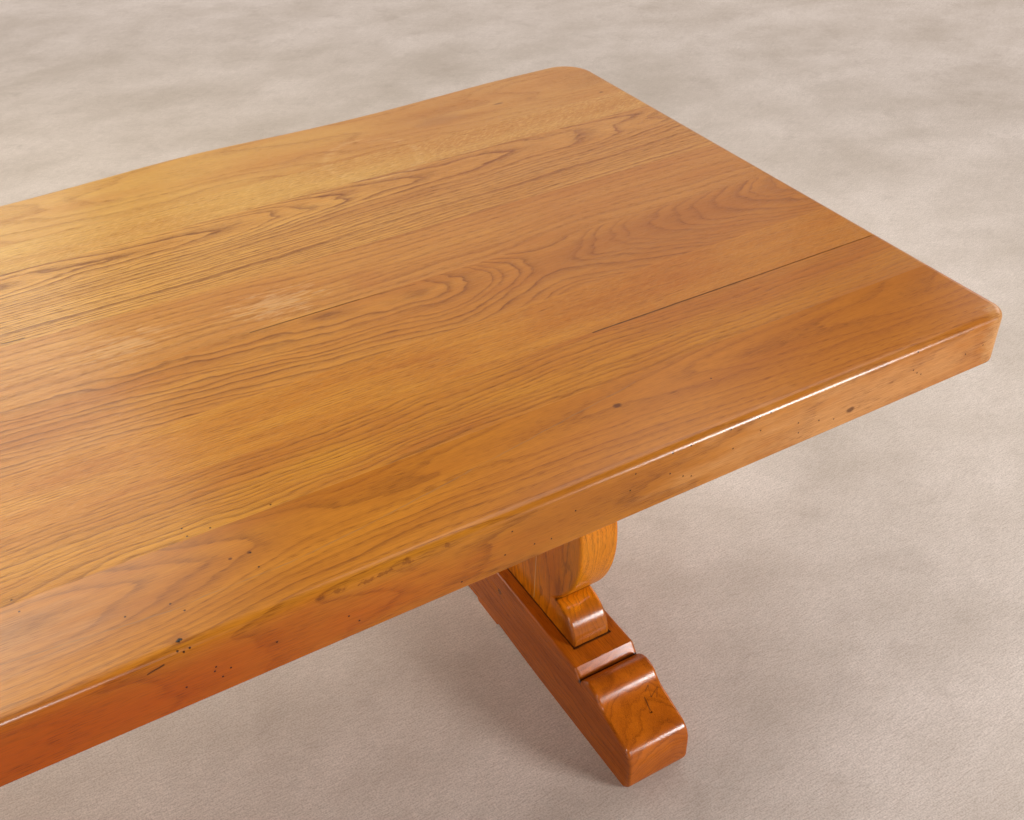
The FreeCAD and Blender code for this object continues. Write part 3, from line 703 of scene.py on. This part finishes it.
@dataclass
class Trestle:
    """A sled foot, an upright of three staves and a bearer. Places in mm."""

    side: str
    seed: float
    marks: tuple[Mark, ...] = ()
    staves: tuple[str, ...] = ("near", "middle", "far")
    shoe_reach: float = 243.0
    shoe_ledge: float = 185.0
    notch_reach: float = 292.0
    notch_height: float = 112.0
    foot_height: float = 130.0
    half_upright: float = 34.0
    half_foot: float = 56.0
    ledge_rise: float = 58.0  # of the shoe's ledge over the foot
    glue_line: tuple[tuple[float, float], ...] = ((-129.0, 245.0), (-121.5, 137.0))  # y and z of its ends

    def foot_marks(self) -> list[Mark]:
        """Lists the dark lines in the notches and round the upright's base: painted shade where the pieces meet, with
        some dirt.

        Returns:
            The marks.
        """
        x = middle(self.side + "_foot").x
        left, right = x - self.half_upright, x + self.half_upright
        marks: list[Mark] = [Streak((face, -self.shoe_reach, self.foot_height),
                                    (face, self.shoe_reach, self.foot_height), 1.8, DIRT_AND_CREASE_SHADE, 0.85, waver=0.8)
                             for face in (left, right)]
        for end in (-1, 1):
            base = end * (self.shoe_reach + 0.8)
            notch = end * self.notch_reach
            marks.append(Streak((left, base, self.foot_height), (right, base, self.foot_height), 3.2, DIRT_AND_CREASE_SHADE, 0.9))
            marks.append(Streak((x - self.half_foot, notch, self.notch_height),
                                (x + self.half_foot, notch, self.notch_height), 4.6, DIRT_AND_CREASE_SHADE, 0.92, waver=1.0))
        return marks

    def stave_marks(self, end: int) -> list[Mark]:
        """Lists the marks of an outer stave: a shoe that feet have darkened, painted light on the stave above it, and
        a dark line on its ledge, painted shade with some dirt.

        Args:
            end: -1 for the near stave, 1 for the far one.

        Returns:
            The marks.
        """
        x = middle(self.side + "_foot").x
        ledge_height = self.foot_height + self.ledge_rise
        return [Patch((x, end * 235, 140), (80, 55, 62), WORN_SHOE, 0.6, 0.6, 0.4, (25, 25, 25), under=True),
                # Painted light on the stave above the shoe.
                Patch((x, end * 232, 320), (90, 50, 130), PAINTED_STAVE_LIGHT, 0.25, 0.4, 0.5, (30, 12, 60), under=True),
                # Painted shade with some dirt along the ledge.
                Streak((x - self.half_upright, end * self.shoe_ledge, ledge_height),
                       (x + self.half_upright, end * self.shoe_ledge, ledge_height), 4.0, DIRT_AND_CREASE_SHADE, 0.7, waver=2.0)]

    def dress(self) -> None:
        """Gives every piece of the trestle its finish."""
        foot = self.side + "_foot"
        heart = middle(foot) + Vector((18, 0, -90))
        figure = OakFigure(tuple(heart), Grain.ACROSS, dip=0.03, ring=9, wander=20, wander_size=(220, 60), ripple=8,
                           lines=0.4, pores=0.5, seed=self.seed)
        marks = (*self.marks, *self.foot_marks())
        dress(foot, OakWood(figure, TRESTLE_TONE, GLOSS, marks).material("Oak_lacquered_%s" % foot))
        bearer = self.side + "_bearer"
        heart = middle(bearer) + Vector((-20, 0, -110))
        figure = OakFigure(tuple(heart), Grain.ACROSS, ring=8, wander=16, lines=0.6, seed=self.seed + 1)
        dress(bearer, OakWood(figure, TRESTLE_TONE, GLOSS).material("Oak_lacquered_%s" % bearer))
        for number, place in enumerate(self.staves):
            stave = "%s_upright_%s_stave" % (self.side, place)
            heart = middle(stave) + Vector((70, 25 * number - 20, 0))
            figure = OakFigure(tuple(heart), Grain.UPRIGHT, drift=0.04, ring=8, wander=18, wander_size=(200, 60),
                               ripple=6, lines=0.6, pores=0.5, seed=self.seed + 2 + number)
            marks = () if place == "middle" else tuple(self.stave_marks(number - 1))
            if place == "near":
                x = middle(foot).x - math.copysign(self.half_upright, middle(foot).x)
                upper, lower = self.glue_line
                marks += (Streak((x, *upper), (x, *lower), 0.9, OLD_GLUE, 0.8, waver=0.3),)
            dress(stave, OakWood(figure, STAVE_TONE_WITH_PAINTED_LIGHT, GLOSS, marks).material("Oak_lacquered_%s" % stave))


@dataclass
class Tie:
    """The stretcher between the trestles and the loose wedges that draw it tight."""

    wedges: tuple[str, ...] = ("right_wedge", "left_wedge")

    def dress(self) -> None:
        """Gives the stretcher and the wedges their finish."""
        heart = middle("stretcher") + Vector((0, 60, -70))
        figure = OakFigure(tuple(heart), dip=0.02, ring=8, lines=0.45, seed=40)
        dress("stretcher", OakWood(figure, TRESTLE_TONE, GLOSS).material("Oak_lacquered_stretcher"))
        for number, wedge in enumerate(self.wedges):
            heart = middle(wedge) + Vector((60, 20, 0))
            figure = OakFigure(tuple(heart), Grain.UPRIGHT, ring=5, lines=0.4, seed=41 + number)
            dress(wedge, OakWood(figure, TRESTLE_TONE, GLOSS).material("Oak_lacquered_%s" % wedge))


@dataclass
class Fasteners:
    """The pegs through the tenons, and the screws and washers under the top."""

    pegs: tuple[str, ...] = ("foot_pegs", "bearer_pegs")
    hardware: tuple[str, ...] = ("coach_screws", "screw_washers")

    def dress(self) -> None:
        """Gives the pegs and the hardware their finish."""
        # Cleft oak pegs show their end grain, which drank the lacquer and reads as dark dots.
        figure = OakFigure((0, 30, 300), ring=4, lines=0.35, wander=4, seed=50)
        tone = OakTone("#8f521d", "#7d4416", "#50270c")
        pegs = OakWood(figure, tone, GLOSS).material("Oak_cleft_peg")
        for node in self.pegs:
            dress(node, pegs)
        steel = ZincSteel().material("Steel_zinc_plated")
        for node in self.hardware:
            dress(node, steel)


@dataclass(frozen=True)
class Softbox:
    """One soft lamp. Places and sizes in metres, power in watts."""

    name: str
    place: Point
    aim: Point
    size: tuple[float, float]
    power: float
    colour: str = "#ffffff"

    def build(self) -> None:
        """Hangs the lamp."""
        light = bpy.data.lights.new(self.name, "AREA")
        light.shape = "RECTANGLE"
        light.size, light.size_y = self.size
        light.energy = self.power
        light.color = linear(self.colour)[:3]
        lamp = bpy.data.objects.new(self.name, light)
        lamp.location = self.place
        lamp.rotation_euler = (Vector(self.aim) - Vector(self.place)).to_track_quat("-Z", "Y").to_euler()
        lamp.visible_camera = False
        bpy.context.scene.collection.objects.link(lamp)


@dataclass
class Studio:
    """The pale floor, the soft lamps and the air round them. Sizes in metres."""

    floor_radius: float = 30.0
    floor_colour: str = "#d8c9be"
    floor_dark: str = "#bfb0a3"
    floor_speck: str = "#96867a"
    mottle_scale: Point = (2.2, 3.2, 1.0)  # clouds of 0.3 to 0.45 m
    stain_size: float = 120.0  # mm
    grit_size: float = 3.0  # mm, drawn coarser than real sand so that it shows
    brush_turns: tuple[float, ...] = (0.62, 0.62 + math.pi / 2)
    brush_stroke: Point = (22.0, 1.6, 10.0)  # mm, drawn coarser than real brush marks so that they show
    wall_colour: str = "#efe6dc"
    wall_light: float = 0.1
    backdrop_colour: str = "#cdbdb0"  # what the eye sees of the walls
    haze: tuple[float, float] = (1.8, 4.0)  # from the middle, where the lit floor turns to backdrop
    haze_light: float = 1.18  # brings the mottled floor up to the backdrop's colour
    wall_fade: tuple[float, float] = (0.12, 0.35)  # sine of the height above level where wall turns to ceiling
    ceiling_colour: str = "#fffaf4"
    ceiling_light: float = 0.06
    lamps: tuple[Softbox, ...] = (
        Softbox("key", (2.1, -2.4, 1.2), (0.7, -0.3, 0.5), (0.7, 0.5), 56.0),
        Softbox("over_left", (-1.0, 0.3, 3.0), (0.0, 0.0, 0.7), (2.0, 2.0), 25.0),
        Softbox("over_right", (1.8, 0.5, 3.0), (1.2, 0.3, 0.0), (2.0, 2.0), 26.0),
        Softbox("back_low", (-1.2, 3.4, 2.0), (0.2, 0.0, 0.7), (4.0, 1.2), 40.0, "#fffbee"),
        Softbox("back_high", (-1.2, 2.8, 3.4), (0.0, 0.0, 0.7), (4.0, 1.5), 112.0, "#fffbee"),
        Softbox("back_right", (2.4, 3.2, 2.2), (0.8, 0.0, 0.5), (3.0, 2.0), 16.0),
        Softbox("side", (3.6, 0.2, 1.6), (1.0, 0.0, 0.3), (2.0, 1.2), 27.0),
        Softbox("low_left", (-1.8, -1.6, 0.6), (0.6, -0.2, 0.3), (1.5, 1.0), 7.0),
        Softbox("front_left", (-0.34, -1.95, 2.1), (0.1, -0.4, 0.5), (0.45, 0.16), 13.0),
    )

    def seen(self, graph: Graph) -> Socket:
        """Tells the rays that show a thing from those that only light by it.

        Args:
            graph: the nodes of the floor or the world.

        Returns:
            One for a ray from the camera, off a shiny piece or through a clear one, zero for any other.
        """
        straight, shiny, clear = (graph.add("LightPath", out="Is %s Ray" % kind)
                                  for kind in ("Camera", "Glossy", "Transmission"))
        either = graph.add("Math", straight, shiny, operation="MAXIMUM")
        return graph.add("Math", either, clear, operation="MAXIMUM")

    def floor_material(self) -> bpy.types.Material:
        """Makes the floor: pale cement screed, brushed both ways. It is matt, mottled and a little gritty.

        Returns:
            The material.
        """
        graph = Graph(bpy.data.materials.new("Cement_screed_pale"))
        metres = graph.add("TexCoord", out="Object")
        broad = graph.add("Mapping", metres, None, (0.0, 0.0, 0.5), self.mottle_scale)
        mottle = graph.add("TexNoise", broad, None, 1.0, 8.0, 0.66)
        spread = graph.add("MapRange", mottle, 0.36, 0.64, 0.0, 1.0)
        stain = graph.add("TexNoise", metres, None, MM_PER_M / self.stain_size, 5.0, 0.7)
        grit = graph.add("TexNoise", metres, None, MM_PER_M / self.grit_size, 2.0, 0.7)
        colour = graph.add("Mix", spread, named={6: linear(self.floor_dark), 7: linear(self.floor_colour)}, out=2,
                           data_type="RGBA")
        layers = [(stain, 0.54, 0.74, 0.3), (grit, 0.42, 0.66, 0.55)]
        for turn in self.brush_turns:
            strokes = graph.add("Mapping", metres, None, (0.0, 0.0, turn),
                                tuple(MM_PER_M / size for size in self.brush_stroke))
            layers.append((graph.add("TexNoise", strokes, None, 1.0, 1.0, 0.6), 0.48, 0.68, 0.3))
        for noise, low, high, most in layers:
            speck = graph.add("MapRange", noise, low, high, 0.0, most)
            colour = graph.add("Mix", speck, named={6: colour, 7: linear(self.floor_speck)}, out=2, data_type="RGBA")
        bump = graph.add("Bump", 0.5, 0.001, named={"Height": grit})
        shader = graph.add("BsdfPrincipled", colour, named={"Roughness": 0.8, "Normal": bump})
        far = graph.add("VectorMath", metres, out="Value", operation="LENGTH")
        away = graph.add("MapRange", far, *self.haze, 0.0, 1.0, interpolation_type="SMOOTHSTEP")
        hazed = graph.add("Math", away, self.seen(graph), operation="MULTIPLY")
        backdrop = graph.add("Emission", colour, self.haze_light)
        graph.add("OutputMaterial", graph.add("MixShader", hazed, shader, backdrop), out=None)
        return graph.holder

    def build_floor(self) -> None:
        """Lays the floor."""
        mesh = bpy.data.meshes.new("floor")
        shape = bmesh.new()
        bmesh.ops.create_circle(shape, cap_ends=True, segments=96, radius=self.floor_radius)
        shape.to_mesh(mesh)
        shape.free()
        mesh.materials.append(self.floor_material())
        floor = bpy.data.objects.new("floor", mesh)
        bpy.context.scene.collection.objects.link(floor)

    def build_air(self) -> None:
        """Surrounds the room with pale walls up to a dim ceiling."""
        world = bpy.data.worlds.new("studio")
        bpy.context.scene.world = world
        graph = Graph(world)
        way = graph.add("TexCoord", out="Generated")
        rise = graph.add("VectorMath", way, (0, 0, 1), out="Value", operation="DOT_PRODUCT")
        share = graph.add("MapRange", rise, *self.wall_fade, 0.0, 1.0, interpolation_type="SMOOTHSTEP")
        straight = graph.add("LightPath", out="Is Camera Ray")
        hidden = graph.add("Math", 1.0, straight, operation="SUBTRACT")
        share = graph.add("Math", share, hidden, operation="MULTIPLY")
        wall = graph.add("Background", linear(self.wall_colour), self.wall_light)
        backdrop = graph.add("Background", linear(self.backdrop_colour), 1.0)
        wall = graph.add("MixShader", self.seen(graph), wall, backdrop)
        ceiling = graph.add("Background", linear(self.ceiling_colour), self.ceiling_light)
        both = graph.add("MixShader", share, wall, ceiling)
        graph.add("OutputWorld", both, out=None)

    def build(self) -> None:
        """Builds the whole studio."""
        self.build_floor()
        self.build_air()
        for lamp in self.lamps:
            lamp.build()
        LOG.info("studio with %d lamps", len(self.lamps))


@dataclass(frozen=True)
class ViewCamera:
    """The camera, at the angle from which the table is seen. Place in metres, angles in radians."""

    place: Point = (-0.0839968, -1.2707429, 1.5572064)
    heading: float = 0.5282183  # from +Y towards +X
    tilt: float = 0.6520393  # below level
    roll: float = 0.0126309
    focal_pixels: float = 1168.9586
    image_width: int = 1024
    sensor: float = 36.0  # mm

    def build(self) -> None:
        """Sets up the camera."""
        lens = bpy.data.cameras.new("camera")
        lens.sensor_width = self.sensor
        lens.lens = self.focal_pixels * self.sensor / self.image_width
        camera = bpy.data.objects.new("camera", lens)
        turn = Euler((math.pi / 2 - self.tilt, 0.0, -self.heading)).to_matrix()
        turn = turn @ Matrix.Rotation(-self.roll, 3, "Z")
        camera.matrix_world = Matrix.Translation(self.place) @ turn.to_4x4()
        bpy.context.scene.collection.objects.link(camera)
        bpy.context.scene.camera = camera


def main() -> None:
    """Dresses the table and builds the studio round it."""
    logging.basicConfig(level=logging.INFO, format="%(message)s")
    bpy.context.scene.view_settings.view_transform = "Standard"
    TableTop().dress()
    for trestle in (Trestle("right", 30, FOOT_CRACK), Trestle("left", 60)):
        trestle.dress()
    Tie().dress()
    Fasteners().dress()
    Studio().build()
    ViewCamera().build()


if __name__ == "__main__":
    main()
